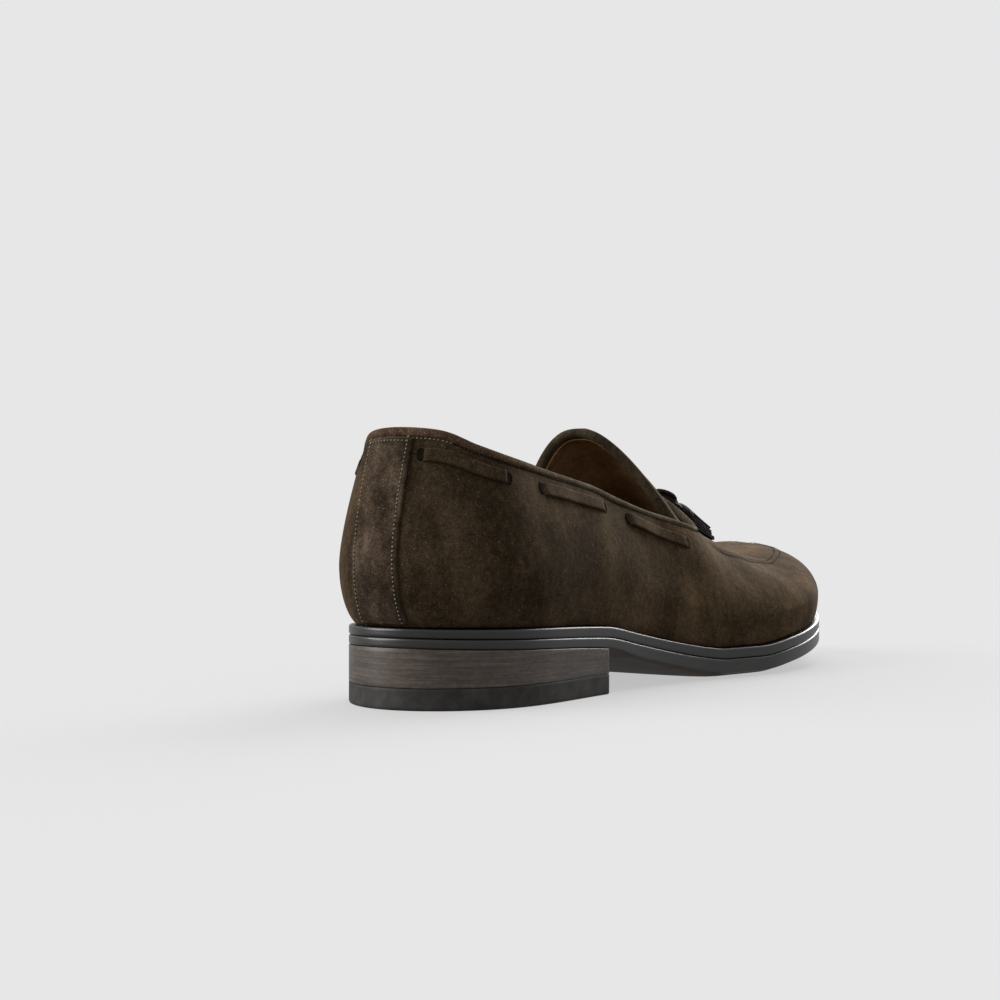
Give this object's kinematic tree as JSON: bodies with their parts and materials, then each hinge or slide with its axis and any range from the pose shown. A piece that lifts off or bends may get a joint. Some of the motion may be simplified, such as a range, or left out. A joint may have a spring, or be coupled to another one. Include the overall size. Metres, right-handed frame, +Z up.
{
  "type": "tassel loafer",
  "caption": "Dark brown suede tassel loafer with a low collar, side lace, a tongue, a leather sole and a low stacked heel.",
  "frame": {"origin": "point on the ground under the middle of the heel's flat face", "axes": "+Y towards the toe, +X to the outer side of this right shoe, +Z up"},
  "size_m": [0.104, 0.3008, 0.096],
  "materials": {
    "suede": "napped suede leather",
    "binding": "napped suede strip, slightly more olive",
    "lining": "smooth tan lining leather",
    "sole_edge": "waxed dark edge, half gloss",
    "sole_leather": "waxed edge, dark smooth underside",
    "heel_leather": "stained and polished stacked leather",
    "heel_rubber": "matt black rubber",
    "lace": "soft dark leather thong"
  },
  "bodies": {
    "root": {"upper": "suede", "back_strip": "suede", "apron_seam": "suede", "tongue": "suede", "collar_binding": "binding", "tongue_binding": "binding", "insole": "lining", "midsole": "sole_edge", "outsole": "sole_leather", "heel_stack": "heel_leather", "toplift": "heel_rubber", "lace_front": "suede", "knot": "lace", "tassel_outer": "lace", "tassel_inner": "lace", "lace_bar_outer_1": "suede", "lace_bar_outer_2": "suede", "lace_bar_outer_3": "suede", "lace_bar_inner_1": "suede", "lace_bar_inner_2": "suede", "lace_bar_inner_3": "suede"}
  },
  "joints": []
}
